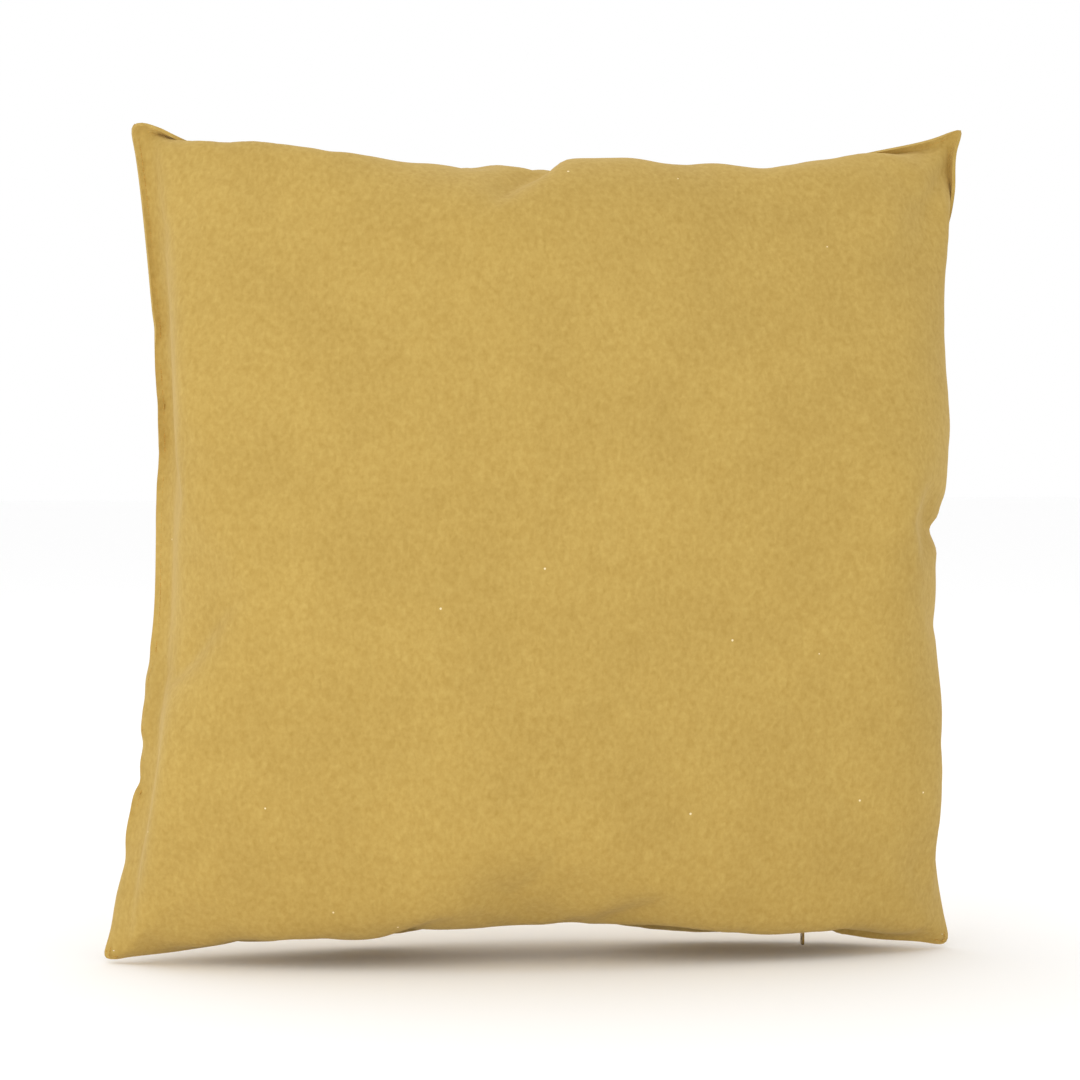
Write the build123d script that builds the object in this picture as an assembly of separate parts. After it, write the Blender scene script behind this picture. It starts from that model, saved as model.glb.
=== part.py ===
from build123d import *
import os
from math import cos, radians, sin, tan

# A throw pillow that stands on its lower edge and leans back a little.
# X is the width, -Y is the front and Z is up. The floor is Z = 0.
# The cover's seam lies in one plane, which leans back about the line where it meets the floor.
# "Across" is the distance in front of that plane and "up" is the height along it.

# ---- driving dimensions, in millimetres ----
LEAN = 5.0  # degrees that the seam plane leans back

EAR_HALF_WIDTH = 217.0  # from the middle to the tip of an ear
EAR_TOP = 428.0  # up to the tips of the upper ears
EAR_ROUND = 4.0
SIDE_HALF_WIDTH = 203.0  # lip edge half way up a side, pulled in by the filling
TOP_DIP = 414.0  # lip edge in the middle of the upper side
BOTTOM_RISE = 12.0  # lip edge in the middle of the lower side

BODY_HALF_WIDTH = 197.5  # the filled part, inside the lip
BODY_BOTTOM = 18.0
BODY_TOP = 408.0
BODY_HALF_THICKNESS = 73.0
THICKNESS_POWER = 2.3
OUTLINE_POWER = 12.0  # how square the filled part is when seen from the front
FRONT_SAG = 7.0  # how far the front belly hangs below the lower seam
BACK_SAG = 24.0  # the back belly hangs lower and is flattened by the floor
STATIONS = (0.0, 70.0, 120.0, 155.0, 177.0, 190.0, 196.0)

CLOTH = 0.9  # cover cloth
LIP_LAYERS = 2  # panel and its turned allowance, for each panel
TICKING = 0.6
EASE = 0.8  # room between one layer and the next
THREAD = 0.5
STITCH_INSET = 3.0  # topstitch, in from the lip edge
SEAM_INSET = 0.8  # joining seam, in from the lip edge

ZIP_LEFT = -120.0  # ends of the zip opening
ZIP_RIGHT = 145.0
ZIP_HEIGHT = 19.0  # outer face of the folded edges beside the zip
BAND_HALF_WIDTH = 13.0  # flat band that holds the zip
BAND_END = 8.0  # how far the band runs past the opening
LIP_GAP_END = 4.5  # how far the lip stops short of the opening
SLOT_HALF_WIDTH = 4.5  # folded edges stand back this far from the zip's middle
TAPE_THICKNESS = 0.6
TAPE_EDGE = 12.0
TAPE_RUN_ON = 6.0  # tape past each end of the opening
CHAIN_GAP = 0.65  # half of the straight gap between the two coils
COIL_EDGE = 2.6
COIL_HEIGHT = 1.7
COIL_END = 5.0  # coil stops this far short of the opening's ends
COIL_ROUND = 0.6
STITCH_LINE = 6.3  # the line of stitches that holds a tape, from the zip's middle
STITCH_RUN_ON = 4.0  # those stitches past each end of the opening
STITCH_DEPTH = 0.3
TACK_OFFSET = 2.5  # bar tacks, past each end of the opening
TACK_HALF_LENGTH = 1.0
TACK_HALF_WIDTH = 4.5
TACK_DEPTH = 0.4
STOP_LENGTH = 3.0
STOP_WIDER = 0.3  # stops stand out this far past the coils
TOP_STOP_DEPTH = 0.5
BOTTOM_STOP_DEPTH = 0.7
RUN_GAP = 0.3  # slider's clearance
TAPE_RUN_GAP = 0.4  # and where it runs against the soft tapes

SLIDER_LENGTH = 9.0
SLIDER_HALF_WIDTH = 3.7
SLIDER_PLATE = 0.9
PLATE_ROUND = 1.4
FLANGE_SET_BACK = 1.5
POST_SET_BACK = 1.2
FLANGE_THICKNESS = 0.8
POST_HALF_WIDTH = 0.35
POST_LENGTH = 2.5
BRIDGE_LENGTH = 7.0
BRIDGE_WIDTH = 1.6
BRIDGE_LEG = 1.2
BRIDGE_BAR = 1.0
BRIDGE_GAP = 1.8
BRIDGE_ROUND = 0.8

PULL_LENGTH = 13.0  # from its pivot
PULL_HALF_WIDTH = 2.7
PULL_THICKNESS = 1.1
PULL_ARM_INSIDE = 1.2
PULL_WINDOW = 5.2  # the window's far end, from the pivot
PULL_BAR_RADIUS = 0.5
PULL_HOLE_RADIUS = 1.2
PULL_HOLE_INSET = 3.4
PULL_ROUND = 1.6
PULL_DROOP = 90.0  # degrees below level: it hangs straight down

INSERT_BAND_RISE = 3.7  # the insert stays this far above the zip band's outer face
LABEL_THICKNESS = 0.3
LABEL_EDGE = 4.6  # labels reach from here to the tape's edge, behind the zip's middle
CARE_LABEL_LEFT, CARE_LABEL_RIGHT = -75.0, -45.0
INSERT_LABEL_LEFT, INSERT_LABEL_RIGHT = 20.0, 60.0
FAR = 600.0  # more than the pillow's size

SEAM_PLANE = Plane(origin=(0, 0, 0), x_dir=(1, 0, 0), z_dir=(0, -cos(radians(LEAN)), sin(radians(LEAN))))
ZIP_Y = ZIP_HEIGHT * tan(radians(LEAN))  # where the seam plane crosses the zip band
LIP_THICKNESS = LIP_LAYERS * CLOTH


def block(x0, x1, y0, y1, z0, z1):
    """A box between two corners."""
    centre = ((x0 + x1) / 2, (y0 + y1) / 2, (z0 + z1) / 2)
    return Pos(*centre) * Box(x1 - x0, y1 - y0, z1 - z0)


def zip_block(x0, x1, across0, across1, z0, z1):
    """A box whose across distances are measured from the zip's middle, the back being positive."""
    return block(x0, x1, ZIP_Y + across0, ZIP_Y + across1, z0, z1)


def stand_up(shape):
    """Move a shape drawn flat, as X and up, into the leaning seam plane."""
    return SEAM_PLANE.location * shape


# ---- the filled body ----
def fullness(x, power):
    """1 in the middle of the pillow and 0 at its side seams."""
    return (1 - (abs(x) / BODY_HALF_WIDTH) ** power) ** (1 / power)


PLACES = [-x for x in reversed(STATIONS[1:])] + list(STATIONS)


def seam_ends(x, inset):
    """How far up the lower and the upper seam are at one section."""
    middle = (BODY_TOP + BODY_BOTTOM) / 2
    reach = (BODY_TOP - BODY_BOTTOM) / 2 * fullness(x, OUTLINE_POWER) - inset
    return middle - reach, middle + reach


def body_section(x, side, inset):
    """One panel's section, square to X: from the lower seam, round the belly, to the upper seam."""
    low, high = seam_ends(x, inset)
    thick = side * (BODY_HALF_THICKNESS * fullness(x, THICKNESS_POWER) - inset)
    slack = fullness(x, OUTLINE_POWER) ** 2
    sag = slack * (FRONT_SAG if side > 0 else BACK_SAG)
    tall = high - low
    curve = (
        (0.00, low),
        (0.46, low - sag),
        (0.80, low + 16 - 0.5 * sag),
        (0.96, low + 60),
        (1.00, low + 0.44 * tall),
        (0.93, high - 0.28 * tall),
        (0.72, high - 0.10 * tall),
        (0.42, high - 10 * slack),
        (0.00, high),
    )
    return [(x, up, thick * across) for across, up in curve]


def band_cut(inset, height):
    """Everything under the flat band that holds the zip."""
    half = BAND_HALF_WIDTH + inset
    end = BAND_END + inset
    return zip_block(ZIP_LEFT - end, ZIP_RIGHT + end, -half, half, -FAR, height)


def facet(*points):
    return Face(Wire.make_polygon(points))


def body_half(side, inset, band_height):
    """The filling's front or back half, shrunk by inset, flat on the floor and over the zip band."""
    sections = [body_section(x, side, inset) for x in PLACES]
    faces = [facet(*sections[0]), facet(*sections[-1])]
    for left, right in zip(sections, sections[1:]):
        for i in range(len(left) - 1):
            faces.append(facet(left[i], right[i], right[i + 1]))
            faces.append(facet(left[i], right[i + 1], left[i + 1]))
    lower = [section[0] for section in sections]
    upper = [section[-1] for section in reversed(sections)]
    faces.append(facet(*lower, *upper))
    solid = stand_up(Solid(Shell(faces)))
    end = STATIONS[-1] - inset
    room = block(-end, end, -FAR, FAR, inset, FAR)
    return (solid & room) - band_cut(inset, band_height)


# ---- the lip round the cover ----
def lip_outline(inset):
    """The cover's outer edge, flat, with its four ears and its sides pulled in."""
    wide = EAR_HALF_WIDTH - inset
    top = EAR_TOP - inset
    corners = ((-wide, inset), (wide, inset), (wide, top), (-wide, top))
    middles = (
        (0, BOTTOM_RISE + inset),
        (SIDE_HALF_WIDTH - inset, EAR_TOP / 2),
        (0, TOP_DIP - inset),
        (inset - SIDE_HALF_WIDTH, EAR_TOP / 2),
    )
    sides = [ThreePointArc(corners[i], middles[i], corners[(i + 1) % 4]) for i in range(4)]
    face = make_face(Curve() + sides)
    return fillet(face.vertices(), EAR_ROUND)


def lip_slab(face, across0, across1):
    """A flat layer of the lip between two distances in front of the seam plane."""
    flat = extrude(face, across1 - across0)
    return stand_up(Pos(0, 0, across0) * flat)


def opening_cut():
    """Everything the lip leaves out where the zip opens the lower seam."""
    left = ZIP_LEFT - LIP_GAP_END
    right = ZIP_RIGHT + LIP_GAP_END
    return block(left, right, -BAND_HALF_WIDTH * 2, BAND_HALF_WIDTH * 2, -FAR, ZIP_HEIGHT)


def floor_cut():
    return block(-FAR, FAR, -FAR, FAR, -FAR, 0)


def thread_ring(inset, across0, across1):
    """A line of thread that follows the lip at a constant distance from its edge."""
    ring = lip_outline(inset) - lip_outline(inset + THREAD)
    return lip_slab(ring, across0, across1) - opening_cut() - floor_cut()


def cover_panel(side, seam):
    """One cover panel: a skin over the filling and its half of the flat lip of turned cloth."""
    slot = zip_block(
        ZIP_LEFT, ZIP_RIGHT, -SLOT_HALF_WIDTH, SLOT_HALF_WIDTH, ZIP_HEIGHT - CLOTH, ZIP_HEIGHT + 2 * CLOTH
    )
    across = 0 if side > 0 else -LIP_THICKNESS
    lip = lip_slab(lip_outline(0), across, across + LIP_THICKNESS) - opening_cut() - floor_cut()
    filled = body_half(side, 0, ZIP_HEIGHT) + lip
    return filled - body_half(side, CLOTH, ZIP_HEIGHT + CLOTH) - seam - slot


# ---- the insert inside the cover ----
INSERT_OUTSIDE = CLOTH + EASE
INSERT_INSIDE = INSERT_OUTSIDE + TICKING
FILL_OUTSIDE = INSERT_INSIDE + EASE
INSERT_BAND = ZIP_HEIGHT + INSERT_BAND_RISE


def seam_outline(inset):
    """The body's edge in the seam plane, flat."""
    ends = [(x, *seam_ends(x, inset)) for x in PLACES]
    lower = [(x, low) for x, low, high in ends]
    upper = [(x, high) for x, low, high in reversed(ends)]
    return make_face(Polyline(*lower, *upper, close=True))


def insert_seam():
    """The thread that joins the two ticking halves, everywhere but over the zip band."""
    middle = INSERT_OUTSIDE + TICKING / 2
    quarter = THREAD / 4
    wide = 2 * (STATIONS[-1] - middle)
    outer = seam_outline(middle - quarter) & Rectangle(wide + quarter * 2, FAR * 2)
    inner = seam_outline(middle + quarter) & Rectangle(wide - quarter * 2, FAR * 2)
    return lip_slab(outer - inner, -THREAD / 2, THREAD / 2) - band_cut(middle, INSERT_BAND + TICKING)


def insert_closing():
    """The thread that closes the insert over the zip band, once it is filled."""
    middle = INSERT_BAND + TICKING / 2
    half = THREAD / 2
    across = (INSERT_BAND - ZIP_HEIGHT) * tan(radians(LEAN))
    return zip_block(ZIP_LEFT, ZIP_RIGHT, across - half, across + half, middle - half / 2, middle + half / 2)


def insert_panel(side, seam, closing):
    """One half of the insert's ticking bag."""
    outer = body_half(side, INSERT_OUTSIDE, INSERT_BAND)
    inner = body_half(side, INSERT_INSIDE, INSERT_BAND + TICKING)
    return outer - inner - seam - closing


def fibre_fill():
    """The loose fibre that fills the insert."""
    top = INSERT_BAND + TICKING + EASE
    return body_half(1, FILL_OUTSIDE, top) + body_half(-1, FILL_OUTSIDE, top)


# ---- the zip in the lower seam ----
TAPE_UNDERSIDE = ZIP_HEIGHT + CLOTH
TAPE_TOP = TAPE_UNDERSIDE + TAPE_THICKNESS
CHAIN_UNDERSIDE = TAPE_UNDERSIDE - COIL_HEIGHT
CHAIN_LEFT = ZIP_LEFT + COIL_END
CHAIN_RIGHT = ZIP_RIGHT - COIL_END
SLIDER_FACE = CHAIN_UNDERSIDE - RUN_GAP  # the outer plate's inner face
SLIDER_UNDERSIDE = SLIDER_FACE - SLIDER_PLATE
SLIDER_X = CHAIN_RIGHT - RUN_GAP - SLIDER_LENGTH / 2  # closed
SLIDER_TRAVEL = SLIDER_X - (CHAIN_LEFT + RUN_GAP + SLIDER_LENGTH / 2)
PIVOT_Z = SLIDER_UNDERSIDE - BRIDGE_GAP / 2


def zip_tape(side):
    """One woven tape, sewn to the inside of its folded edge."""
    near, far = sorted((side * -CHAIN_GAP, side * -TAPE_EDGE))
    left = ZIP_LEFT - TAPE_RUN_ON
    right = ZIP_RIGHT + TAPE_RUN_ON
    return zip_block(left, right, near, far, TAPE_UNDERSIDE, TAPE_TOP)


def zip_coil(side):
    """The outer shape of one nylon coil, sewn along its tape's edge."""
    near, far = sorted((side * -CHAIN_GAP, side * -COIL_EDGE))
    bar = zip_block(CHAIN_LEFT, CHAIN_RIGHT, near, far, CHAIN_UNDERSIDE, TAPE_UNDERSIDE)
    return fillet(bar.edges().filter_by(Axis.X).group_by(Axis.Z)[0], COIL_ROUND)


def zip_stitching(side):
    """The line of thread that holds one tape to its folded edge."""
    near, far = sorted((side * -STITCH_LINE, side * -(STITCH_LINE + THREAD)))
    left = ZIP_LEFT - STITCH_RUN_ON
    right = ZIP_RIGHT + STITCH_RUN_ON
    return zip_block(left, right, near, far, ZIP_HEIGHT - STITCH_DEPTH, ZIP_HEIGHT)


def zip_top_stops():
    """A small clamp at the closed end of each coil."""
    left = CHAIN_RIGHT
    low = CHAIN_UNDERSIDE - TOP_STOP_DEPTH
    edge = COIL_EDGE + STOP_WIDER
    stops = [
        zip_block(left, left + STOP_LENGTH, near, far, low, TAPE_UNDERSIDE)
        for near, far in ((-edge, -CHAIN_GAP), (CHAIN_GAP, edge))
    ]
    return Compound(children=[fillet(s.edges().filter_by(Axis.Z), 0.4).solid() for s in stops])


def zip_bottom_stop():
    """One staple across both coils at the end where the slider stops when the zip is open."""
    right = CHAIN_LEFT
    edge = COIL_EDGE + STOP_WIDER
    low = CHAIN_UNDERSIDE - BOTTOM_STOP_DEPTH
    stop = zip_block(right - STOP_LENGTH, right, -edge, edge, low, TAPE_UNDERSIDE)
    return fillet(stop.edges().filter_by(Axis.Z), 0.5)


def bar_tacks():
    """Close stitches across both ends of the opening."""
    tacks = []
    long, wide = TACK_HALF_LENGTH, TACK_HALF_WIDTH
    for x in (ZIP_LEFT - TACK_OFFSET, ZIP_RIGHT + TACK_OFFSET):
        tack = zip_block(x - long, x + long, -wide, wide, ZIP_HEIGHT - TACK_DEPTH, ZIP_HEIGHT)
        tacks.append(tack.solid())
    return Compound(children=tacks)


def zip_slider():
    """Two plates joined by a post, with edge flanges and a bridge that holds the pull."""
    half_length = SLIDER_LENGTH / 2
    left = SLIDER_X - half_length
    right = SLIDER_X + half_length
    edge = SLIDER_HALF_WIDTH
    upper = TAPE_TOP + TAPE_RUN_GAP
    top = upper + SLIDER_PLATE
    lower_plate = zip_block(left, right, -edge, edge, SLIDER_UNDERSIDE, SLIDER_FACE)
    upper_plate = zip_block(left, right, -edge, edge, upper, top)
    lower_plate = fillet(lower_plate.edges().filter_by(Axis.Z), PLATE_ROUND)
    upper_plate = fillet(upper_plate.edges().filter_by(Axis.Z), PLATE_ROUND)
    slider = lower_plate + upper_plate
    post_right = right - POST_SET_BACK
    slider += zip_block(
        post_right - POST_LENGTH, post_right, -POST_HALF_WIDTH, POST_HALF_WIDTH, SLIDER_FACE, upper
    )
    for side in (1, -1):
        near, far = sorted((side * edge, side * (edge - FLANGE_THICKNESS)))
        flange_top = TAPE_UNDERSIDE - TAPE_RUN_GAP
        slider += zip_block(
            left + FLANGE_SET_BACK, right - FLANGE_SET_BACK, near, far, SLIDER_FACE, flange_top
        )
    half_bridge = BRIDGE_LENGTH / 2
    half_width = BRIDGE_WIDTH / 2
    bridge_low = SLIDER_UNDERSIDE - BRIDGE_GAP - BRIDGE_BAR
    bridge = zip_block(
        SLIDER_X - half_bridge, SLIDER_X + half_bridge, -half_width, half_width, bridge_low, SLIDER_UNDERSIDE
    )
    bridge = fillet(bridge.edges().filter_by(Axis.Y).group_by(Axis.Z)[0], BRIDGE_ROUND)
    half_gap = half_bridge - BRIDGE_LEG
    gap = zip_block(
        SLIDER_X - half_gap, SLIDER_X + half_gap, -BRIDGE_WIDTH, BRIDGE_WIDTH,
        SLIDER_UNDERSIDE - BRIDGE_GAP, SLIDER_UNDERSIDE
    )
    return slider + (bridge - gap)


def zip_pull():
    """A flat tab with a window at one end, whose end bar passes through the slider's bridge."""
    half = PULL_THICKNESS / 2
    outline = Pos(PULL_LENGTH / 2, 0) * Rectangle(PULL_LENGTH, 2 * PULL_HALF_WIDTH)
    outline = fillet(outline.vertices().group_by(Axis.X)[-1], PULL_ROUND)
    window = Rectangle(2 * PULL_WINDOW, 2 * PULL_ARM_INSIDE)
    hole = Pos(PULL_LENGTH - PULL_HOLE_INSET, 0) * Circle(PULL_HOLE_RADIUS)
    tab = Pos(0, 0, -half) * extrude(outline - window - hole, PULL_THICKNESS)
    bar = Rot(90, 0, 0) * Cylinder(PULL_BAR_RADIUS, 2 * PULL_HALF_WIDTH)
    eyes = Rot(90, 0, 0) * Cylinder(half, 2 * PULL_HALF_WIDTH)
    eyes -= Box(2 * PULL_THICKNESS, 2 * PULL_ARM_INSIDE, 2 * PULL_THICKNESS)
    pull = tab + eyes + bar
    return Pos(SLIDER_X, ZIP_Y, PIVOT_Z) * Rot(0, 180 - PULL_DROOP, 0) * pull


# ---- labels ----
def care_label():
    """A folded blank label held by the zip tape, inside the cover."""
    top = TAPE_TOP + LABEL_THICKNESS
    return zip_block(CARE_LABEL_LEFT, CARE_LABEL_RIGHT, LABEL_EDGE, TAPE_EDGE, TAPE_TOP, top)


def insert_label():
    """A blank label on the insert, where the zip shows it."""
    low = INSERT_BAND - LABEL_THICKNESS
    return zip_block(INSERT_LABEL_LEFT, INSERT_LABEL_RIGHT, LABEL_EDGE, TAPE_EDGE, low, INSERT_BAND)


def all_parts():
    """Every piece by name, in the standing position, before the origin is set."""
    lip_seam = thread_ring(SEAM_INSET, -THREAD / 2, THREAD / 2)
    ticking_seam = insert_seam()
    closing = insert_closing()
    return {
        "cover_front_panel": cover_panel(1, lip_seam),
        "cover_back_panel": cover_panel(-1, lip_seam),
        "cover_seam_thread": lip_seam,
        "edge_topstitch_front": thread_ring(STITCH_INSET, LIP_THICKNESS, LIP_THICKNESS + STITCH_DEPTH),
        "edge_topstitch_back": thread_ring(STITCH_INSET, -LIP_THICKNESS - STITCH_DEPTH, -LIP_THICKNESS),
        "zip_tape_front": zip_tape(1),
        "zip_tape_back": zip_tape(-1),
        "zip_coil_front": zip_coil(1),
        "zip_coil_back": zip_coil(-1),
        "zip_stitching_front": zip_stitching(1),
        "zip_stitching_back": zip_stitching(-1),
        "zip_top_stops": zip_top_stops(),
        "zip_bottom_stop": zip_bottom_stop(),
        "zip_bar_tacks": bar_tacks(),
        "zip_slider": zip_slider(),
        "zip_pull": zip_pull(),
        "care_label": care_label(),
        "insert_front_ticking": insert_panel(1, ticking_seam, closing),
        "insert_back_ticking": insert_panel(-1, ticking_seam, closing),
        "insert_seam_thread": ticking_seam,
        "insert_closing_thread": closing,
        "insert_label": insert_label(),
        "fibre_fill": fibre_fill(),
    }


def main():
    parts = all_parts()
    boxes = [shape.bounding_box() for shape in parts.values()]
    shift_x = -(min(b.min.X for b in boxes) + max(b.max.X for b in boxes)) / 2
    shift_y = -(min(b.min.Y for b in boxes) + max(b.max.Y for b in boxes)) / 2
    os.makedirs("parts", exist_ok=True)
    for name, shape in parts.items():
        export_step(Pos(shift_x, shift_y, 0) * shape, f"parts/{name}.step")
    print(f"shift {shift_x:.3f} {shift_y:.3f}")
    print(f"slider x {SLIDER_X + shift_x:.2f} y {ZIP_Y + shift_y:.3f}, travel {SLIDER_TRAVEL:.2f}")
    print(f"pull pivot z {PIVOT_Z:.3f}")


main()
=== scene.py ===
import math

import bpy
import numpy as np
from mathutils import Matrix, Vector, noise


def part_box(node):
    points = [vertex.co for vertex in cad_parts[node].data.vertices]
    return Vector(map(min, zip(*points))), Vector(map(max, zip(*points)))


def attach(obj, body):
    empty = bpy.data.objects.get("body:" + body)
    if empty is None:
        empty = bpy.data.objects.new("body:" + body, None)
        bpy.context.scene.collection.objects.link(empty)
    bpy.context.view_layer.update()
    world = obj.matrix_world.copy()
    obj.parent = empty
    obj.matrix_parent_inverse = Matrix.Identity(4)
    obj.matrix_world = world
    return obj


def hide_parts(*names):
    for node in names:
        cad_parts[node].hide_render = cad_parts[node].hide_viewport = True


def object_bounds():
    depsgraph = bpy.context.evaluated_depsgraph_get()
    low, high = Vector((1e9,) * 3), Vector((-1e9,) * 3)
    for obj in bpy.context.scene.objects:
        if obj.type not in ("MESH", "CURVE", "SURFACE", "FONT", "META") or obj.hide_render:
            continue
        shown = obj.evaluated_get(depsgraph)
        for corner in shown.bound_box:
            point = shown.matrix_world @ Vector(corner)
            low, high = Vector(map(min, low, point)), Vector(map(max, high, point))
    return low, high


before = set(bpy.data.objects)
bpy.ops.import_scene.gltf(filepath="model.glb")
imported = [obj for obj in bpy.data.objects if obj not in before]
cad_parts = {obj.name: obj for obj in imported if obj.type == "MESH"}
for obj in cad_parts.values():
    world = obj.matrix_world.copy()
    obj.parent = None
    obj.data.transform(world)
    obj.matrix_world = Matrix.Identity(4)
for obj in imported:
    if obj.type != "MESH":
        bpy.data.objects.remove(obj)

cad_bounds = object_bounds()
bpy.ops.object.select_all(action="DESELECT")

# ---- Camera and studio ----
# The pillow stands on a plain white floor in soft light from all round, a little stronger from
# the lower left. The camera is level with its middle and slightly to its left.
MM = 0.001
CAMERA_AZIMUTH = math.radians(-7.0)
CAMERA_ELEVATION = math.radians(2.5)
CAMERA_DISTANCE = 2.0
VIEW_WIDTH = 0.556
SENSOR_WIDTH = 36.0
low, high = (Vector(corner) for corner in cad_bounds)
centre = (low + high) / 2


def aim(piece, target):
    piece.rotation_euler = (target - piece.location).to_track_quat("-Z", "Y").to_euler()


away = Vector((
    math.sin(CAMERA_AZIMUTH) * math.cos(CAMERA_ELEVATION),
    -math.cos(CAMERA_AZIMUTH) * math.cos(CAMERA_ELEVATION),
    math.sin(CAMERA_ELEVATION),
))
bpy.ops.object.camera_add(location=centre + away * CAMERA_DISTANCE)
camera = bpy.context.object
camera.name = "camera"
camera.data.lens = SENSOR_WIDTH * CAMERA_DISTANCE / VIEW_WIDTH
aim(camera, centre)
bpy.context.scene.camera = camera


def soft_light(name, place, size, watts):
    bpy.ops.object.light_add(type="AREA", location=place)
    light = bpy.context.object
    light.name = name
    light.data.size = size
    light.data.energy = watts
    aim(light, centre)
    return light


soft_light("front_left_light", (-0.65, -1.2, 0.08), 0.5, 6.0)
soft_light("overhead_light", (-0.4, 0.5, 2.2), 2.0, 9.0)

world = bpy.data.worlds.new("white_studio")
bpy.context.scene.world = world
world.use_nodes = True
world.node_tree.nodes["Background"].inputs["Color"].default_value = (1, 1, 1, 1)
world.node_tree.nodes["Background"].inputs["Strength"].default_value = 1.0
bpy.context.scene.view_settings.view_transform = "Standard"


def linear(hex_colour):
    """An sRGB hex colour as linear RGBA."""
    values = [int(hex_colour[i:i + 2], 16) / 255 for i in (1, 3, 5)]
    return [v / 12.92 if v <= 0.04045 else ((v + 0.055) / 1.055) ** 2.4 for v in values] + [1]


def add_node(tree, kind, settings=None, **links):
    """One node with its properties and inputs; an input is a value or another node's socket."""
    node = tree.nodes.new(kind)
    for key, value in (settings or {}).items():
        setattr(node, key, value)
    for key, value in links.items():
        socket = node.inputs[int(key[1:])] if key[1:].isdigit() else node.inputs[key.replace("_", " ")]
        if isinstance(value, bpy.types.NodeSocket):
            tree.links.new(value, socket)
        else:
            socket.default_value = value
    return node


def new_material(name, **surface):
    """A material whose shader takes the given uniform values, with its tree and its shader."""
    material = bpy.data.materials.new(name)
    material.use_nodes = True
    tree = material.node_tree
    shader = tree.nodes["Principled BSDF"]
    for key, value in surface.items():
        shader.inputs[key.replace("_", " ")].default_value = value
    return material, tree, shader


bpy.ops.mesh.primitive_plane_add(size=14, location=(0, 0, 0))
floor = bpy.context.object
floor.name = "studio_floor"
paper, _, paper_shader = new_material("white_paper_sweep", Roughness=0.9, Specular_IOR_Level=0.1)
paper_shader.inputs["Base Color"].default_value = linear("#FDFDFD")
floor.data.materials.append(paper)

# ---- Cover ----
# Two squares of brushed polyester cloth, sewn face to face, turned out and topstitched round the
# edge, so a flat lip stands out all round. The insert swells it: the sides draw in, small puckers
# form at the seam, and the corners stay flat as ears. It is blown up here as cloth.
CUT = 0.45
CELLS = 82
CELL = CUT / CELLS
FRAMES = 36
BOW = 4 * MM
BOW_SLOPE = 0.15
BOW_RIPPLE_SPACING = 1 / 22
MERGE_DISTANCE = 0.1 * MM
EAR_SLACK = 34 * MM
CLOTH_THICKNESS = 0.9 * MM
LEAN = math.radians(5.0)
EAR_TOP = 428 * MM
HALF_HEIGHT = EAR_TOP / 2
seam_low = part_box("cover_seam_thread")[0]
SEAM_BASE_Y = seam_low[1] - math.tan(LEAN) * seam_low[2]
ZIP_LEFT, ZIP_RIGHT = (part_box("zip_stitching_front")[i][0] for i in (0, 1))
ZIP_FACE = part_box("zip_stitching_front")[1][2]
ZIP_Y = (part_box("zip_coil_front")[1][1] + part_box("zip_coil_back")[0][1]) / 2
SLOT_HALF_WIDTH = 4.5 * MM
BAND_HALF_WIDTH = 13 * MM
BAND_END = 8 * MM
LIP_GAP_END = 3 * MM


def flat_square(name, cells, bow):
    """A square of cloth on the table, its inside lifted a little so that pressure can part it."""
    bpy.ops.mesh.primitive_grid_add(x_subdivisions=cells, y_subdivisions=cells, size=cells * CELL)
    square = bpy.context.object
    square.name = name
    for vertex in square.data.vertices:
        inside = CUT / 2 - CELL - max(abs(vertex.co.x), abs(vertex.co.y))
        if inside > CELL / 2:
            lift = min(inside * BOW_SLOPE, BOW)
            ripple = 1 + 0.5 * noise.noise(vertex.co / BOW_RIPPLE_SPACING)
            vertex.co.z = bow * lift * ripple
    return square


front_square = flat_square("front_square", CELLS, 1)
flat_square("back_square", CELLS - 2, -1)
bpy.ops.object.mode_set(mode="EDIT")
bpy.ops.mesh.select_all(action="SELECT")
bpy.ops.mesh.flip_normals()
bpy.ops.object.mode_set(mode="OBJECT")
front_faces = len(front_square.data.polygons)
front_square.select_set(True)
bpy.context.view_layer.objects.active = front_square
bpy.ops.object.join()
bpy.ops.object.mode_set(mode="EDIT")
bpy.ops.mesh.select_all(action="SELECT")
bpy.ops.mesh.remove_doubles(threshold=MERGE_DISTANCE)
bpy.ops.object.mode_set(mode="OBJECT")
bag = front_square
cut_place = np.array([v.co[:] for v in bag.data.vertices])
bag_faces = [tuple(p.vertices) for p in bag.data.polygons]

filled = bag.vertex_groups.new(name="filled")
for vertex in bag.data.vertices:
    from_side = CUT / 2 - abs(vertex.co.x)
    from_end = CUT / 2 - abs(vertex.co.y)
    is_filled = min(from_side, from_end) > 1.5 * CELL and from_side + from_end > EAR_SLACK
    filled.add([vertex.index], 1.0 if is_filled else 0.0, "REPLACE")

swell = bag.modifiers.new("swell", "CLOTH")
cloth = swell.settings
cloth.quality = 6
cloth.mass = 0.3
cloth.tension_stiffness = 20
cloth.compression_stiffness = 10
cloth.shear_stiffness = 3
cloth.bending_stiffness = 0.3
cloth.tension_damping = 5
cloth.compression_damping = 5
cloth.shear_damping = 5
cloth.air_damping = 3
cloth.use_pressure = True
cloth.uniform_pressure_force = 3
cloth.vertex_group_pressure = "filled"
cloth.effector_weights.gravity = 0
swell.collision_settings.use_collision = False
swell.point_cache.frame_end = FRAMES
for step in range(1, FRAMES + 1):
    bpy.context.scene.frame_set(step)
bpy.ops.object.modifier_apply(modifier="swell")
swollen = np.array([v.co[:] for v in bag.data.vertices])
bpy.context.scene.frame_set(1)


def smooth(value):
    value = np.clip(value, 0, 1)
    return value * value * (3 - 2 * value)


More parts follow.
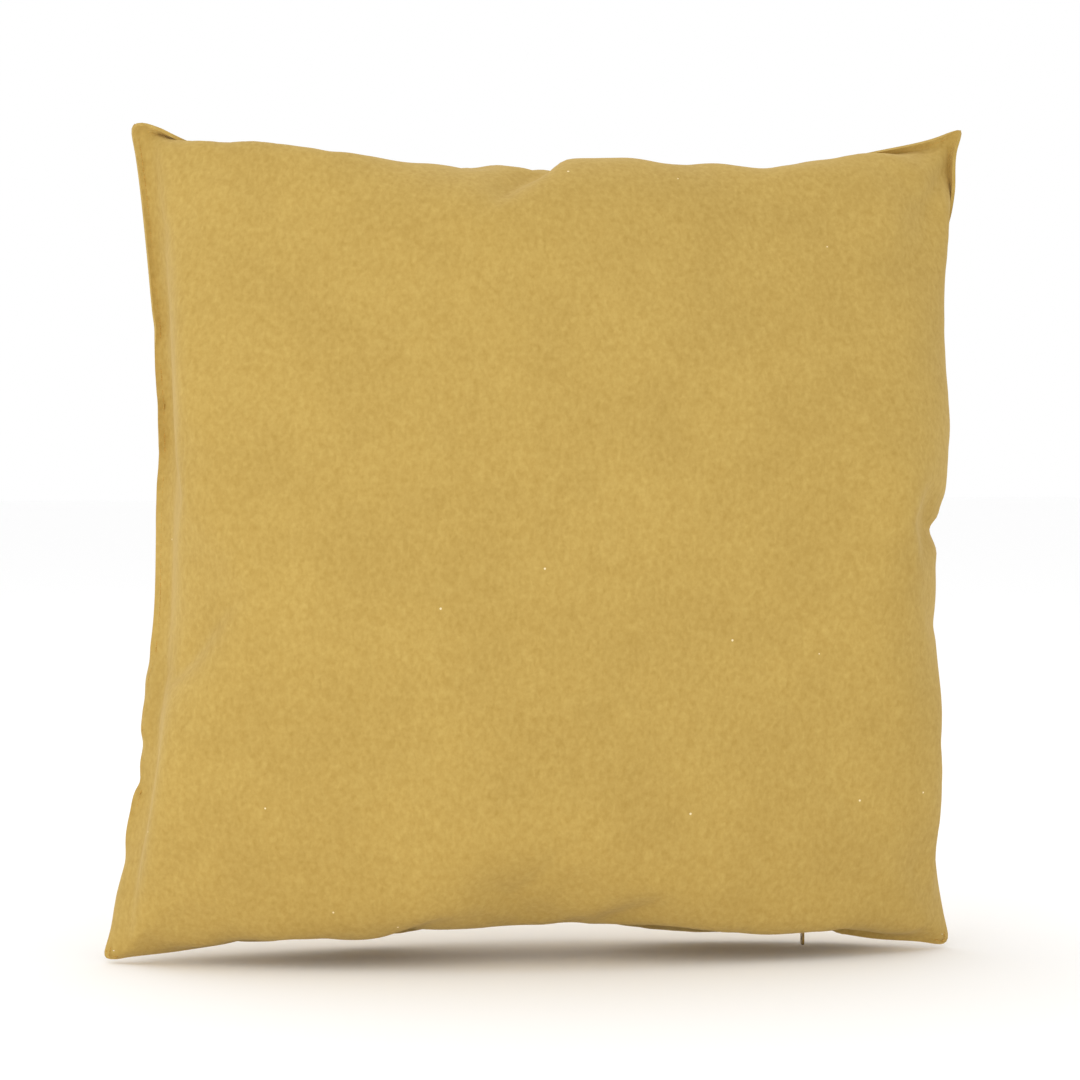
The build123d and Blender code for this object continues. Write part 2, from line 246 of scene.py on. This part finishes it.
# The swollen bag, brought to the size of the real one. Each edge is drawn to its own gentle curve
# between the ears, and the belly is made as deep as the filling makes it. The pillow slumps a
# little, so its upper ears lie to the right and its lower ears to the left.
BELLY_HALF = 72 * MM
LIP_WIDTH = CELL
LEFT_MIDDLE, RIGHT_MIDDLE = 196 * MM, 200 * MM
LEFT_EAR, RIGHT_EAR = 216 * MM, 218 * MM
LEFT_SLUMP, RIGHT_SLUMP = -8 * MM, 6 * MM
TOP_MIDDLE, BOTTOM_MIDDLE = 189 * MM, 199 * MM
EAR_SHARPNESS = 3.2
EDGE_LINE_DEGREE = 10
across_x, up_y, belly_z = swollen.T
row_in = np.rint((CUT / 2 - np.abs(cut_place[:, :2]).max(axis=1)) / CELL) - 1
width_share, height_share = (cut_place[:, :2] / (CUT / 2)).T


def drawn(values, along, on_edge, target):
    """Values scaled so that the smooth line through the given edge becomes the target line."""
    curve = np.polyfit(along[on_edge], np.abs(values[on_edge]), EDGE_LINE_DEGREE)
    return values * target / np.polyval(curve, along)


edges = {
    "left": cut_place[:, 0] < -CUT / 2 + CELL / 2,
    "right": cut_place[:, 0] > CUT / 2 - CELL / 2,
    "bottom": cut_place[:, 1] < -CUT / 2 + CELL / 2,
    "top": cut_place[:, 1] > CUT / 2 - CELL / 2,
}
left_reach = LEFT_MIDDLE + (LEFT_EAR - LEFT_MIDDLE) * height_share ** 2 + LEFT_SLUMP * height_share
right_reach = RIGHT_MIDDLE + (RIGHT_EAR - RIGHT_MIDDLE) * height_share ** 2
right_reach = right_reach + RIGHT_SLUMP * height_share
ear_rise = np.abs(width_share) ** EAR_SHARPNESS
top_reach = TOP_MIDDLE + (HALF_HEIGHT - TOP_MIDDLE) * ear_rise
bottom_reach = BOTTOM_MIDDLE + (HALF_HEIGHT - BOTTOM_MIDDLE) * ear_rise
flat_x = np.where(
    across_x < 0,
    drawn(across_x, height_share, edges["left"], left_reach),
    drawn(across_x, height_share, edges["right"], right_reach),
)
flat_y = np.where(
    up_y < 0,
    drawn(up_y, width_share, edges["bottom"], bottom_reach),
    drawn(up_y, width_share, edges["top"], top_reach),
)
belly = belly_z * BELLY_HALF / np.abs(belly_z).max()

# On the left the belly stops short of the seam, so the lip stands clear of it.
TURN = 9 * MM
CLEAR_OF_SEAM = 1 * MM
seam_reach = left_reach - LIP_WIDTH - CLEAR_OF_SEAM
excess = -flat_x - (seam_reach - TURN)
turned = seam_reach - TURN + TURN * (1 - np.exp(-np.maximum(excess, 0) / TURN))
flat_x = np.where((row_in > 0) & (excess > 0), -turned, flat_x)


# On the right it bulges over the seam and hides the lip.
RIGHT_BULGE = 7 * MM
BULGE_FROM = 120 * MM
BULGE_REACH = 60 * MM
BULGE_DEPTH = 25 * MM
bulging = smooth((flat_x - BULGE_FROM) / BULGE_REACH) * smooth(np.abs(belly) / BULGE_DEPTH)
flat_x = flat_x + RIGHT_BULGE * bulging * (1 - height_share ** 4)

# Puckers: the seam gathers the cloth, so its swell rises and falls along the edge.
PUCKERS_PER_METRE = 40
PUCKER_FADE = 17 * MM
PUCKER_DEPTH = 11 * MM
PUCKER_RISE = 5 * MM
PUCKER_END = 60 * MM
PUCKER_SLICE = 3.1
BACK_SLICE = 0.6
on_side = np.abs(cut_place[:, 0]) > np.abs(cut_place[:, 1])
side_run = np.where(on_side, cut_place[:, 1], cut_place[:, 0])
pucker = np.array([
    noise.noise(Vector((
        x * PUCKERS_PER_METRE, y * PUCKERS_PER_METRE, PUCKER_SLICE + (BACK_SLICE if z < 0 else 0)
    )))
    for x, y, z in cut_place
])
edge_share = np.exp(-np.clip(row_in, 0, None) * CELL / PUCKER_FADE) * (row_in > 0)
gathered = pucker * edge_share * smooth((CUT / 2 - np.abs(side_run)) / PUCKER_END)
belly = belly + np.sign(belly) * gathered * PUCKER_DEPTH
flat_y = flat_y + gathered * PUCKER_RISE * np.sign(flat_y)

# Sag: the belly hangs below the lower seam, most at the back, and rises over the upper seam.
FRONT_DROP = 9 * MM
BACK_DROP = 14 * MM
TOP_RISE = 14 * MM
SAG_DEPTH = 50 * MM
EAR_FROM = 160 * MM
EAR_REACH = 45 * MM
LOW_REACH = 150 * MM
HIGH_REACH = 130 * MM
PULL_COVER = 5 * MM
PULL_COVER_X = 132 * MM
PULL_COVER_REACH = 26 * MM
up = flat_y + HALF_HEIGHT
deep = smooth(np.abs(belly) / SAG_DEPTH)
beside_ears = 1 - smooth((np.abs(flat_x) - EAR_FROM) / EAR_REACH)
low_share = np.clip(1 - up / LOW_REACH, 0, 1) ** 2
high_share = np.clip((up - (EAR_TOP - HIGH_REACH)) / HIGH_REACH, 0, 1) ** 2
over_pull = PULL_COVER * np.exp(-((flat_x - PULL_COVER_X) / PULL_COVER_REACH) ** 2)
front_drop = FRONT_DROP * beside_ears + over_pull
up = up - np.where(belly > 0, front_drop, BACK_DROP * beside_ears) * deep * low_share
up = up + TOP_RISE * deep * high_share * beside_ears

standing = np.empty_like(swollen)
standing[:, 0] = flat_x
standing[:, 1] = SEAM_BASE_Y + up * math.sin(LEAN) - belly * math.cos(LEAN)
standing[:, 2] = up * math.cos(LEAN) + belly * math.sin(LEAN)
SETTLE = 6 * MM
pressed = SETTLE * np.exp((np.minimum(standing[:, 2], SETTLE) - SETTLE) / SETTLE)
pressed = np.maximum(pressed, CLOTH_THICKNESS)
standing[:, 2] = np.where(standing[:, 2] < SETTLE, pressed, standing[:, 2])

ZIP_BLEND = (1.0, 1.0, 0.85, 0.6, 0.32, 0.12)


def beside_zip(places, side):
    """Lay the cloth beside the zip flat and back from its middle, side being -1 at the front."""
    placed = places.copy()
    from_left = (placed[:, 0] - ZIP_LEFT + BAND_END) / BAND_END
    from_right = (ZIP_RIGHT + BAND_END - placed[:, 0]) / BAND_END
    ends = smooth(from_left) * smooth(from_right)
    for row, share in enumerate(ZIP_BLEND):
        at_row = (row_in == row) & (cut_place[:, 1] < 0)
        at_row &= np.abs(cut_place[:, 1]) >= np.abs(cut_place[:, 0])
        weight = (share * ends)[at_row]
        target_y = ZIP_Y + side * (SLOT_HALF_WIDTH + row * CELL)
        placed[at_row, 1] += weight * (target_y - placed[at_row, 1])
        placed[at_row, 2] += weight * (ZIP_FACE + CLOTH_THICKNESS - placed[at_row, 2])
    return placed


def in_opening(face):
    """Whether a face of the lip lies where the zip takes its place."""
    middle = sum(standing[i, 0] for i in face) / len(face)
    lower_lip = min(row_in[i] for i in face) < 0 and cut_place[face[0], 1] < -CUT / 2 + 2 * CELL
    return lower_lip and ZIP_LEFT - LIP_GAP_END < middle < ZIP_RIGHT + LIP_GAP_END


lip_faces = [f for f in bag_faces[:front_faces] if min(row_in[i] for i in f) < 0]
panel_faces = {
    "front": [f for f in bag_faces[:front_faces] if not in_opening(f)],
    "back": bag_faces[front_faces:] + [f[::-1] for f in lip_faces if not in_opening(f)],
}


def cloth_sheet(name, places, faces, thickness):
    """A sheet of cloth: its inner face is the given surface, and it is as thick as the cloth."""
    used = sorted({i for face in faces for i in face})
    number = {old: new for new, old in enumerate(used)}
    mesh = bpy.data.meshes.new(name)
    mesh.from_pydata([places[i].tolist() for i in used], [], [[number[i] for i in f] for f in faces])
    sheet = bpy.data.objects.new(name, mesh)
    bpy.context.collection.objects.link(sheet)
    bpy.ops.object.select_all(action="DESELECT")
    sheet.select_set(True)
    bpy.context.view_layer.objects.active = sheet
    finer = sheet.modifiers.new("finer", "SUBSURF")
    finer.levels = finer.render_levels = 1
    finer.boundary_smooth = "ALL"
    bpy.ops.object.modifier_apply(modifier="finer")
    if thickness:
        thick = sheet.modifiers.new("thick", "SOLIDIFY")
        thick.thickness = thickness
        thick.offset = 1
        bpy.ops.object.modifier_apply(modifier="thick")
    bpy.ops.object.shade_smooth_by_angle(angle=math.radians(60))
    return sheet


# Brushed polyester, woven and then raised with wire rollers: a dull, short nap that lies in soft
# patches, with a fine crepe-like grain, a pale bloom at grazing angles and a few specks of lint.
NAP_GRAIN = 1.5 * MM
NAP_RIPPLE = 2.2 * MM
NAP_PATCH = 45 * MM
brushed, tree, shader = new_material(
    "brushed_mustard_polyester",
    Roughness=0.93, Sheen_Weight=0.22, Sheen_Roughness=0.55, Specular_IOR_Level=0.18,
)
shader.inputs["Sheen Tint"].default_value = linear("#F2DDAE")
coords = add_node(tree, "ShaderNodeTexCoord").outputs["Object"]
grain = add_node(
    tree, "ShaderNodeTexNoise", Vector=coords, Scale=1 / NAP_GRAIN / 1.6, Detail=3.0, Roughness=0.6
).outputs["Fac"]
ripple_axis = add_node(
    tree, "ShaderNodeMapping", Vector=coords, Rotation=(0, math.radians(38), 0), Scale=(1.0, 1.0, 0.6)
).outputs["Vector"]
ripple = add_node(
    tree, "ShaderNodeTexNoise", Vector=ripple_axis, Scale=1 / NAP_RIPPLE / 1.2, Detail=2.0, Distortion=0.5
).outputs["Fac"]
patch = add_node(tree, "ShaderNodeTexNoise", Vector=coords, Scale=1 / NAP_PATCH, Detail=3.0).outputs["Fac"]
surface = add_node(tree, "ShaderNodeMath", {"operation": "ADD"}, _0=grain, _1=ripple).outputs[0]
tone = add_node(tree, "ShaderNodeValToRGB", Fac=add_node(
    tree, "ShaderNodeMath", {"operation": "MULTIPLY"}, _0=surface, _1=0.5
).outputs[0])
tone.color_ramp.elements[0].position = 0.3
tone.color_ramp.elements[0].color = linear("#AF8F47")
tone.color_ramp.elements[1].position = 0.7
tone.color_ramp.elements[1].color = linear("#C1A35A")
cloudy = add_node(tree, "ShaderNodeValToRGB", Fac=patch)
cloudy.color_ramp.elements[0].position = 0.35
cloudy.color_ramp.elements[0].color = linear("#F8F7F5")
cloudy.color_ramp.elements[1].position = 0.65
cloudy.color_ramp.elements[1].color = linear("#FFFFFF")
patched = add_node(
    tree, "ShaderNodeMix", {"data_type": "RGBA", "blend_type": "MULTIPLY"},
    _0=1.0, _6=tone.outputs["Color"], _7=cloudy.outputs["Color"]
).outputs[2]
LINT_SPACING = 26 * MM
LINT_SIZE = 0.022
lint_cell = add_node(tree, "ShaderNodeTexVoronoi", Vector=coords, Scale=1 / LINT_SPACING)
lint = add_node(
    tree, "ShaderNodeMath", {"operation": "LESS_THAN"}, _0=lint_cell.outputs["Distance"], _1=LINT_SIZE
)
with_lint = add_node(
    tree, "ShaderNodeMix", {"data_type": "RGBA"}, _0=lint.outputs[0], _6=patched, _7=linear("#EAD9AE")
).outputs[2]
tree.links.new(with_lint, shader.inputs["Base Color"])
relief = add_node(tree, "ShaderNodeBump", Height=surface, Strength=0.45, Distance=0.35 * MM)
tree.links.new(relief.outputs["Normal"], shader.inputs["Normal"])

front_places = beside_zip(standing, -1)
back_places = beside_zip(standing, 1)
for side, places in (("front", front_places), ("back", back_places)):
    panel = cloth_sheet(f"{side}_cover_panel", places, panel_faces[side], CLOTH_THICKNESS)
    panel.data.materials.append(brushed)
    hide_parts(f"cover_{side}_panel")
    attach(panel, "cushion")
bpy.data.objects.remove(bag)

# ---- Edge topstitch and seam thread ----
# A lockstitch in matching spun polyester runs 3 mm inside the lip's edge: the needle thread shows
# on the front and the bobbin thread on the back. The seam that joins the panels is inside the lip.
STITCH_LENGTH = 3.1 * MM
STITCH_GAP = 0.6 * MM
THREAD_RADIUS = 0.26 * MM
THREAD_PROUD = 0.1 * MM
STITCH_BODY = 0.8
ZIP_REGION = 60 * MM


def lip_ring(share, rise):
    """Points round the lip, a share of the way in from its edge, in front of the seam by rise."""
    points = []
    for index, place in enumerate(cut_place):
        if row_in[index] != -1:
            continue
        inner = np.clip(place[:2], -CUT / 2 + CELL, CUT / 2 - CELL)
        points.append((math.atan2(place[1], place[0]), index, inner))
    inner_index = {
        (round(cut_place[i][0] / CELL), round(cut_place[i][1] / CELL)): i
        for i in range(len(cut_place)) if row_in[i] == 0
    }
    ring = []
    for angle, index, inner in sorted(points, key=lambda p: p[0]):
        within = inner_index[(round(inner[0] / CELL), round(inner[1] / CELL))]
        place = standing[index] * (1 - share) + standing[within] * share
        ring.append(Vector(place) + Vector((0, -math.cos(LEAN), math.sin(LEAN))) * rise)
    return ring


def spaced(ring, step):
    """Points at even steps along a closed ring, each with its direction."""
    placed = []
    carry = 0.0
    for start, end in zip(ring, ring[1:] + ring[:1]):
        run = (end - start).length
        if run < 1e-6:
            continue
        direction = (end - start) / run
        while carry < run:
            placed.append((start + direction * carry, direction))
            carry += step
        carry -= run
    return placed


def outside_opening(place):
    near_floor = place.z < ZIP_REGION
    return not (near_floor and ZIP_LEFT - 2 * LIP_GAP_END < place.x < ZIP_RIGHT + 2 * LIP_GAP_END)


def capsule():
    """One stitch lying along X: a short rounded rod of twisted thread."""
    bpy.ops.mesh.primitive_cylinder_add(vertices=8, radius=THREAD_RADIUS, depth=STITCH_LENGTH * STITCH_BODY)
    rod = bpy.context.object
    bpy.ops.object.mode_set(mode="EDIT")
    bpy.ops.mesh.select_all(action="DESELECT")
    bpy.ops.object.mode_set(mode="OBJECT")
    for face in rod.data.polygons:
        face.select = abs(face.normal.z) > 0.9
    bpy.ops.object.mode_set(mode="EDIT")
    bpy.ops.mesh.extrude_region_move()
    bpy.ops.transform.resize(value=(0.5, 0.5, 1 / STITCH_BODY), center_override=(0, 0, 0))
    bpy.ops.object.mode_set(mode="OBJECT")
    places = np.array([v.co[:] for v in rod.data.vertices])[:, [2, 1, 0]]
    faces = [tuple(p.vertices)[::-1] for p in rod.data.polygons]
    bpy.data.objects.remove(rod)
    return places, faces


stitch_places, stitch_faces = capsule()


def run_of_stitches(name, ring, step):
    """A row of separate stitches along a ring, as one piece."""
    vertices = []
    faces = []
    for place, direction in spaced(ring, step):
        if not outside_opening(place):
            continue
        turn = direction.to_track_quat("X", "Z").to_matrix()
        first = len(vertices)
        vertices += [place + turn @ Vector(p) for p in stitch_places]
        faces += [[first + i for i in face] for face in stitch_faces]
    mesh = bpy.data.meshes.new(name)
    mesh.from_pydata(vertices, [], faces)
    piece = bpy.data.objects.new(name, mesh)
    bpy.context.collection.objects.link(piece)
    for polygon in mesh.polygons:
        polygon.use_smooth = True
    return piece


# Spun polyester thread, two plies twisted: a fine diagonal line and almost no shine.
PLY_PITCH = 0.5 * MM
spun, tree, shader = new_material("spun_polyester_thread", Roughness=0.8, Specular_IOR_Level=0.25)
coords = add_node(tree, "ShaderNodeTexCoord").outputs["Object"]
ply = add_node(
    tree, "ShaderNodeTexWave", {"bands_direction": "DIAGONAL"}, Vector=coords, Scale=0.3 / PLY_PITCH,
    Distortion=1.0
).outputs["Fac"]
ply_tone = add_node(tree, "ShaderNodeValToRGB", Fac=ply)
ply_tone.color_ramp.elements[0].color = linear("#AE8437")
ply_tone.color_ramp.elements[1].color = linear("#CBA252")
tree.links.new(ply_tone.outputs["Color"], shader.inputs["Base Color"])
ply_relief = add_node(tree, "ShaderNodeBump", Height=ply, Strength=0.4, Distance=0.1 * MM)
tree.links.new(ply_relief.outputs["Normal"], shader.inputs["Normal"])

STITCH_SHARE = 0.52
for side, facing in (("front", 1), ("back", -1)):
    ring = lip_ring(STITCH_SHARE, facing * (CLOTH_THICKNESS + THREAD_PROUD))
    stitches = run_of_stitches(f"{side}_edge_stitches", ring, STITCH_LENGTH + STITCH_GAP)
    stitches.data.materials.append(spun)
    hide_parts(f"edge_topstitch_{side}")
    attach(stitches, "cushion")

SEAM_SHARE = 0.25
seam_stitches = run_of_stitches("panel_seam_stitches", lip_ring(SEAM_SHARE, 0), STITCH_LENGTH)
seam_stitches.data.materials.append(spun)
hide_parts("cover_seam_thread")
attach(seam_stitches, "cushion")


def dress(material, *nodes):
    """Give CAD nodes that stay a finished material."""
    for name in nodes:
        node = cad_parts[name]
        node.data.materials.clear()
        node.data.materials.append(material)


dress(spun, "zip_stitching_front", "zip_stitching_back", "zip_bar_tacks")

# ---- Zip ----
# A number 3 coil zip in the lower seam, between the folded edges: woven polyester tapes, a coil of
# nylon monofilament sewn along each, and a plated zinc slider with a short swinging pull.
# Woven tape: a close twill whose diagonal ribs are about 1 mm apart.
RIB_PITCH = 1.0 * MM
twill, tree, shader = new_material("woven_polyester_tape", Roughness=0.85)
coords = add_node(tree, "ShaderNodeTexCoord").outputs["Object"]
rib = add_node(
    tree, "ShaderNodeTexWave", {"bands_direction": "DIAGONAL"}, Vector=coords, Scale=0.3 / RIB_PITCH
).outputs["Fac"]
rib_tone = add_node(tree, "ShaderNodeValToRGB", Fac=rib)
rib_tone.color_ramp.elements[0].color = linear("#9C7733")
rib_tone.color_ramp.elements[1].color = linear("#B98F43")
tree.links.new(rib_tone.outputs["Color"], shader.inputs["Base Color"])
rib_relief = add_node(tree, "ShaderNodeBump", Height=rib, Strength=0.5, Distance=0.15 * MM)
tree.links.new(rib_relief.outputs["Normal"], shader.inputs["Normal"])
dress(twill, "zip_tape_front", "zip_tape_back")

# Nylon monofilament, extruded and coiled hot: smooth, slightly see-through and softly glossy.
nylon, tree, shader = new_material("coiled_nylon_monofilament", Roughness=0.35, IOR=1.53)
coords = add_node(tree, "ShaderNodeTexCoord").outputs["Object"]
dye = add_node(tree, "ShaderNodeTexNoise", Vector=coords, Scale=180.0, Detail=2.0).outputs["Fac"]
dye_tone = add_node(tree, "ShaderNodeValToRGB", Fac=dye)
dye_tone.color_ramp.elements[0].color = linear("#A98140")
dye_tone.color_ramp.elements[1].color = linear("#C49B52")
tree.links.new(dye_tone.outputs["Color"], shader.inputs["Base Color"])

COIL_PITCH = 1.4 * MM
FILAMENT = 0.3 * MM
COIL_STEPS = 8


def coil(side):
    """One coil as a flattened helix, inside the CAD coil's outline."""
    name = f"zip_coil_{side}"
    corner_low, corner_high = (Vector(c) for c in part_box(name))
    half_wide = (corner_high.y - corner_low.y) / 2 - FILAMENT
    half_tall = (corner_high.z - corner_low.z) / 2 - FILAMENT
    axis = (corner_low + corner_high) / 2
    turns = int((corner_high.x - corner_low.x - 2 * FILAMENT) / COIL_PITCH)
    start = 0 if side == "front" else COIL_PITCH / 2
    curve = bpy.data.curves.new(f"{side}_nylon_coil", "CURVE")
    curve.dimensions = "3D"
    spline = curve.splines.new("POLY")
    count = turns * COIL_STEPS - COIL_STEPS // 2
    spline.points.add(count - 1)
    for i in range(count):
        angle = 2 * math.pi * i / COIL_STEPS
        x = corner_low.x + FILAMENT + start + COIL_PITCH * i / COIL_STEPS
        y = axis.y + half_wide * math.cos(angle)
        z = axis.z + half_tall * math.sin(angle)
        spline.points[i].co = (x, y, z, 1)
    curve.bevel_depth = FILAMENT
    curve.bevel_resolution = 1
    curve.use_fill_caps = True
    piece = bpy.data.objects.new(f"{side}_nylon_coil", curve)
    bpy.context.collection.objects.link(piece)
    bpy.ops.object.select_all(action="DESELECT")
    piece.select_set(True)
    bpy.context.view_layer.objects.active = piece
    bpy.ops.object.convert(target="MESH")
    piece = bpy.context.object
    bpy.ops.object.shade_smooth()
    return piece


for side in ("front", "back"):
    piece = coil(side)
    piece.data.materials.append(nylon)
    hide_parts(f"zip_coil_{side}")
    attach(piece, "cushion")

# Zinc die casting with an antique brass plate: brown in the hollows, rubbed bright on the edges.
plated, tree, shader = new_material("antique_brass_plate", Metallic=1.0)
coords = add_node(tree, "ShaderNodeTexCoord").outputs["Object"]
tarnish = add_node(tree, "ShaderNodeTexNoise", Vector=coords, Scale=420.0, Detail=4.0).outputs["Fac"]
metal_tone = add_node(tree, "ShaderNodeValToRGB", Fac=tarnish)
metal_tone.color_ramp.elements[0].position = 0.35
metal_tone.color_ramp.elements[0].color = linear("#7A6236")
metal_tone.color_ramp.elements[1].position = 0.7
metal_tone.color_ramp.elements[1].color = linear("#B99A5C")
tree.links.new(metal_tone.outputs["Color"], shader.inputs["Base Color"])
metal_rough = add_node(tree, "ShaderNodeMapRange", Value=tarnish, To_Min=0.28, To_Max=0.5)
tree.links.new(metal_rough.outputs["Result"], shader.inputs["Roughness"])
metal_relief = add_node(tree, "ShaderNodeBump", Height=tarnish, Strength=0.15, Distance=0.05 * MM)
tree.links.new(metal_relief.outputs["Normal"], shader.inputs["Normal"])
dress(plated, "zip_slider", "zip_pull", "zip_top_stops", "zip_bottom_stop")

# ---- Labels ----
# Blank woven satin ribbon: one on the zip tape inside the cover and one on the insert.
satin, tree, shader = new_material("woven_satin_ribbon", Roughness=0.45, Sheen_Weight=0.2)
coords = add_node(tree, "ShaderNodeTexCoord").outputs["Object"]
float_thread = add_node(
    tree, "ShaderNodeTexWave", {"bands_direction": "X"}, Vector=coords, Scale=600.0, Distortion=0.6
).outputs["Fac"]
satin_tone = add_node(tree, "ShaderNodeValToRGB", Fac=float_thread)
satin_tone.color_ramp.elements[0].color = linear("#DAD7CE")
satin_tone.color_ramp.elements[1].color = linear("#EFEDE6")
tree.links.new(satin_tone.outputs["Color"], shader.inputs["Base Color"])
dress(satin, "care_label", "insert_label")

# ---- Insert ----
# A bag of thin white cotton ticking in two halves, overlocked round its edge and closed over the
# zip once it is filled. It presses against the cover, so it takes the cover's shape, set in a little.
INSERT_DEPTH = 2.2 * MM
TICKING_THICKNESS = 0.5 * MM
INSERT_LIFT = 4.1 * MM
FILL_DEPTH = 3.6 * MM
FILL_LIFT = 5.5 * MM
BAND_MARGIN = 12 * MM


def vertex_normals(places, faces):
    normals = np.zeros_like(places)
    corners = np.array([f for f in faces])
    a, b, c, d = (places[corners[:, i]] for i in range(4))
    face_normals = np.cross(c - a, d - b)
    for i in range(4):
        np.add.at(normals, corners[:, i], face_normals)
    length = np.linalg.norm(normals, axis=1, keepdims=True)
    return normals / np.maximum(length, 1e-12)


def set_in(places, faces, depth, lift):
    """A surface moved inwards by depth, and kept above the zip band."""
    inner = places - vertex_normals(places, faces) * depth
    at_seam = row_in == 0
    across = np.where(on_side, -np.sign(cut_place[:, 0]), 0) * depth
    along = np.where(on_side, 0, -np.sign(cut_place[:, 1])) * depth
    inner[at_seam] = places[at_seam] + np.stack([across, 0 * across, along], 1)[at_seam]
    over_zip = np.abs(inner[:, 1] - ZIP_Y) < BAND_HALF_WIDTH + CELL / 2
    over_zip &= inner[:, 2] < ZIP_FACE + lift
    over_zip &= (inner[:, 0] > ZIP_LEFT - BAND_MARGIN) & (inner[:, 0] < ZIP_RIGHT + BAND_MARGIN)
    inner[over_zip, 2] = ZIP_FACE + lift
    return inner


inside_faces = {
    "front": [f for f in bag_faces[:front_faces] if min(row_in[i] for i in f) >= 0],
    "back": bag_faces[front_faces:],
}
all_inside = inside_faces["front"] + inside_faces["back"]

# Cotton ticking: a tight plain weave about 0.4 mm to a thread, drawn at 0.8 mm so that it shows.
WEAVE_PITCH = 0.8 * MM
cotton, tree, shader = new_material("plain_woven_cotton_ticking", Roughness=0.9, Sheen_Weight=0.1)
coords = add_node(tree, "ShaderNodeTexCoord").outputs["Object"]
warp_thread = add_node(
    tree, "ShaderNodeTexWave", {"bands_direction": "X"}, Vector=coords, Scale=0.3 / WEAVE_PITCH
).outputs["Fac"]
weft_thread = add_node(
    tree, "ShaderNodeTexWave", {"bands_direction": "Z"}, Vector=coords, Scale=0.3 / WEAVE_PITCH
).outputs["Fac"]
weave = add_node(tree, "ShaderNodeMath", {"operation": "MULTIPLY"}, _0=warp_thread, _1=weft_thread).outputs[0]
weave_tone = add_node(tree, "ShaderNodeValToRGB", Fac=weave)
weave_tone.color_ramp.elements[0].color = linear("#DDDAD2")
weave_tone.color_ramp.elements[1].color = linear("#F2F0EA")
tree.links.new(weave_tone.outputs["Color"], shader.inputs["Base Color"])
weave_relief = add_node(tree, "ShaderNodeBump", Height=weave, Strength=0.4, Distance=0.1 * MM)
tree.links.new(weave_relief.outputs["Normal"], shader.inputs["Normal"])

is_front = np.zeros(len(standing), bool)
is_front[[i for f in inside_faces["front"] for i in f]] = True
lining = np.where(is_front[:, None], front_places, back_places)
lining[row_in == 0] = ((front_places + back_places) / 2)[row_in == 0]
ticking_places = set_in(lining, all_inside, INSERT_DEPTH, INSERT_LIFT)
for side in ("front", "back"):
    ticking = cloth_sheet(f"{side}_ticking", ticking_places, inside_faces[side], -TICKING_THICKNESS)
    ticking.data.materials.append(cotton)
    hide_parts(f"insert_{side}_ticking")
    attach(ticking, "cushion")

# The insert's threads: the same spun polyester, undyed.
undyed, tree, shader = new_material("undyed_spun_thread", Roughness=0.8)
coords = add_node(tree, "ShaderNodeTexCoord").outputs["Object"]
undyed_ply = add_node(
    tree, "ShaderNodeTexWave", {"bands_direction": "DIAGONAL"}, Vector=coords, Scale=0.3 / PLY_PITCH
).outputs["Fac"]
undyed_tone = add_node(tree, "ShaderNodeValToRGB", Fac=undyed_ply)
undyed_tone.color_ramp.elements[0].color = linear("#D8D5CC")
undyed_tone.color_ramp.elements[1].color = linear("#EEECE5")
tree.links.new(undyed_tone.outputs["Color"], shader.inputs["Base Color"])
dress(undyed, "insert_closing_thread")

seam_line = [
    (math.atan2(cut_place[i][1], cut_place[i][0]), Vector(ticking_places[i]))
    for i in np.nonzero(row_in == 0)[0]
]
insert_ring = [place for angle, place in sorted(seam_line, key=lambda item: item[0])]
insert_stitches = run_of_stitches("insert_seam_stitches", insert_ring, STITCH_LENGTH + STITCH_GAP)
insert_stitches.data.materials.append(undyed)
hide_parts("insert_seam_thread")
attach(insert_stitches, "cushion")

# ---- Fibre fill ----
# Loose crimped polyester staple, blown in until the insert is firm: a soft white mass whose
# surface is tufted where it meets the ticking.
fibre, tree, shader = new_material("crimped_polyester_staple", Roughness=1.0, Sheen_Weight=0.4)
coords = add_node(tree, "ShaderNodeTexCoord").outputs["Object"]
tuft = add_node(
    tree, "ShaderNodeTexNoise", Vector=coords, Scale=120.0, Detail=6.0, Distortion=2.0
).outputs["Fac"]
tuft_tone = add_node(tree, "ShaderNodeValToRGB", Fac=tuft)
tuft_tone.color_ramp.elements[0].color = linear("#E4E4E2")
tuft_tone.color_ramp.elements[1].color = linear("#FAFAF8")
tree.links.new(tuft_tone.outputs["Color"], shader.inputs["Base Color"])
tuft_relief = add_node(tree, "ShaderNodeBump", Height=tuft, Strength=0.8, Distance=1.0 * MM)
tree.links.new(tuft_relief.outputs["Normal"], shader.inputs["Normal"])

fill_places = set_in(lining, all_inside, FILL_DEPTH, FILL_LIFT)
fill = cloth_sheet("fibre_filling", fill_places, all_inside, 0)
fill.data.materials.append(fibre)
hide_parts("fibre_fill")
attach(fill, "cushion")

bpy.ops.object.select_all(action="DESELECT")
